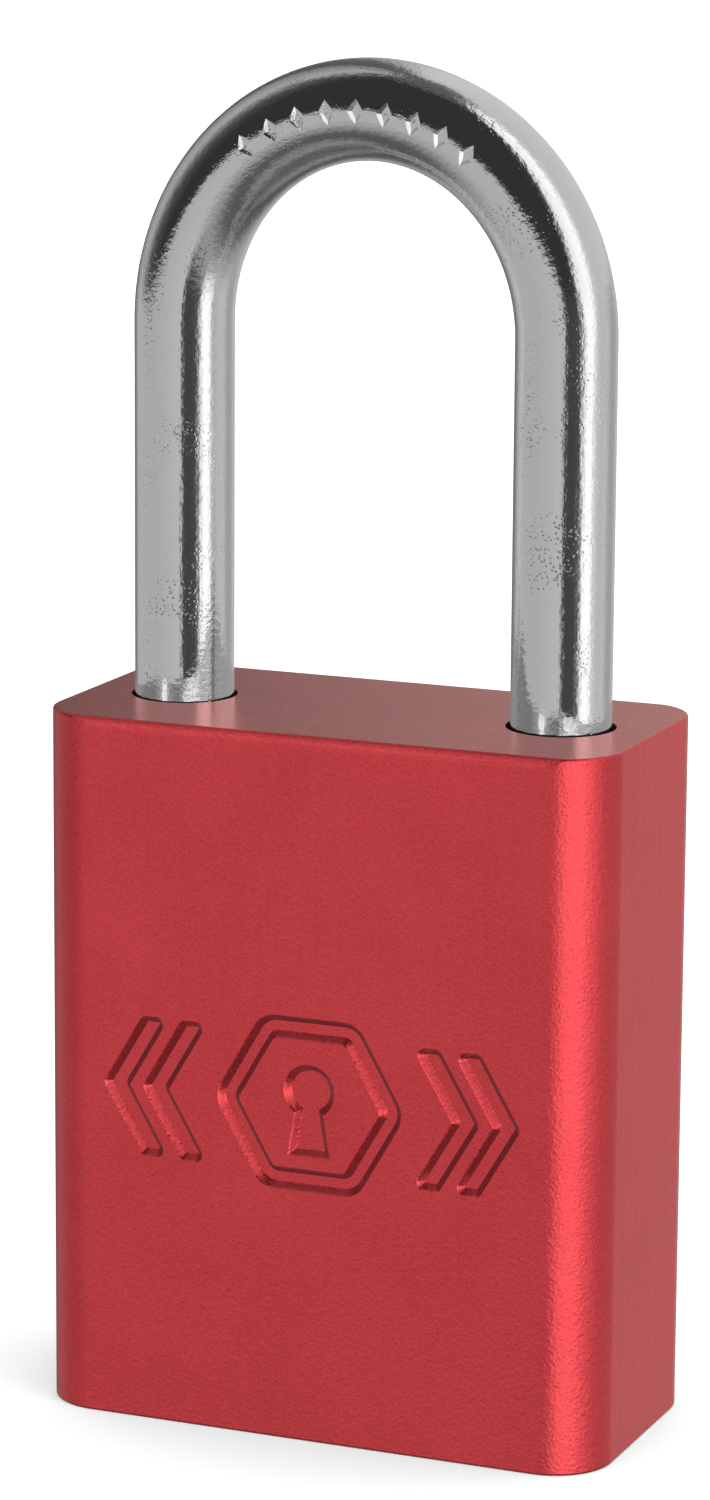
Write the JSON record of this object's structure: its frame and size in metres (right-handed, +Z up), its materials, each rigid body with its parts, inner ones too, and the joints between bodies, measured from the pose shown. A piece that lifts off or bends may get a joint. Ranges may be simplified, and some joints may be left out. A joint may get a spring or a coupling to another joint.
{
  "type": "safety padlock",
  "caption": "Keyed safety padlock: a rounded rectangular anodised block, a round-bar shackle that lifts out at its toe, and a pin cylinder in the underside.",
  "frame": {"origin": "centre of the block's flat underside, which it stands on", "axes": "+Z up along the shackle, X across the block from the heel leg (-X) to the toe leg (+X), Y through its thickness with the front face at -Y"},
  "size_m": [0.0382, 0.019, 0.0864],
  "materials": {
    "anodised_block": "red anodised, fine matt grain",
    "chrome_bar": "bright chrome plate with small pits and draw lines",
    "hard_steel": "ground or drawn steel",
    "spring_steel": "drawn spring wire",
    "cylinder_brass": "turned brass",
    "pin_brass": "turned brass"
  },
  "bodies": {
    "block": {"lock_body": "anodised_block", "cylinder_shell": "cylinder_brass", "chamber_cover": "cylinder_brass", "cylinder_screw": "hard_steel", "shackle_spring": "spring_steel", "driver_pin_1": "pin_brass", "driver_pin_2": "pin_brass", "driver_pin_3": "pin_brass", "driver_pin_4": "pin_brass", "driver_pin_5": "pin_brass", "driver_pin_6": "pin_brass", "pin_spring_1": "spring_steel", "pin_spring_2": "spring_steel", "pin_spring_3": "spring_steel", "pin_spring_4": "spring_steel", "pin_spring_5": "spring_steel", "pin_spring_6": "spring_steel"},
    "shackle_bar": {"shackle": "chrome_bar"},
    "key_plug": {"plug": "cylinder_brass", "plug_clip": "spring_steel", "actuator": "hard_steel", "key_pin_1": "pin_brass", "key_pin_2": "pin_brass", "key_pin_3": "pin_brass", "key_pin_4": "pin_brass", "key_pin_5": "pin_brass", "key_pin_6": "pin_brass"},
    "heel_side_ball": {"heel_ball": "hard_steel"},
    "toe_side_ball": {"toe_ball": "hard_steel"}
  },
  "joints": [
    {"name": "shackle_lift", "type": "slide", "parent": "block", "child": "shackle_bar", "axis": [0, 0, 1], "range_m": [0, 0.0135], "deforming": ["shackle_spring"]},
    {"name": "plug_turn", "type": "hinge", "parent": "block", "child": "key_plug", "pos_m": [0, 0, 0.014], "axis": [0, 0, 1], "range_deg": [-90, 0]},
    {"name": "heel_ball_slide", "type": "slide", "parent": "block", "child": "heel_side_ball", "axis": [-1, 0, 0], "range_m": [-0.00001, 0.00101]},
    {"name": "toe_ball_slide", "type": "slide", "parent": "block", "child": "toe_side_ball", "axis": [1, 0, 0], "range_m": [-0.00001, 0.00151]}
  ],
  "couplings": [
    {"joint": "heel_ball_slide", "follows": "plug_turn", "m_per_rad": -0.0006366},
    {"joint": "toe_ball_slide", "follows": "plug_turn", "m_per_rad": -0.0009549}
  ]
}
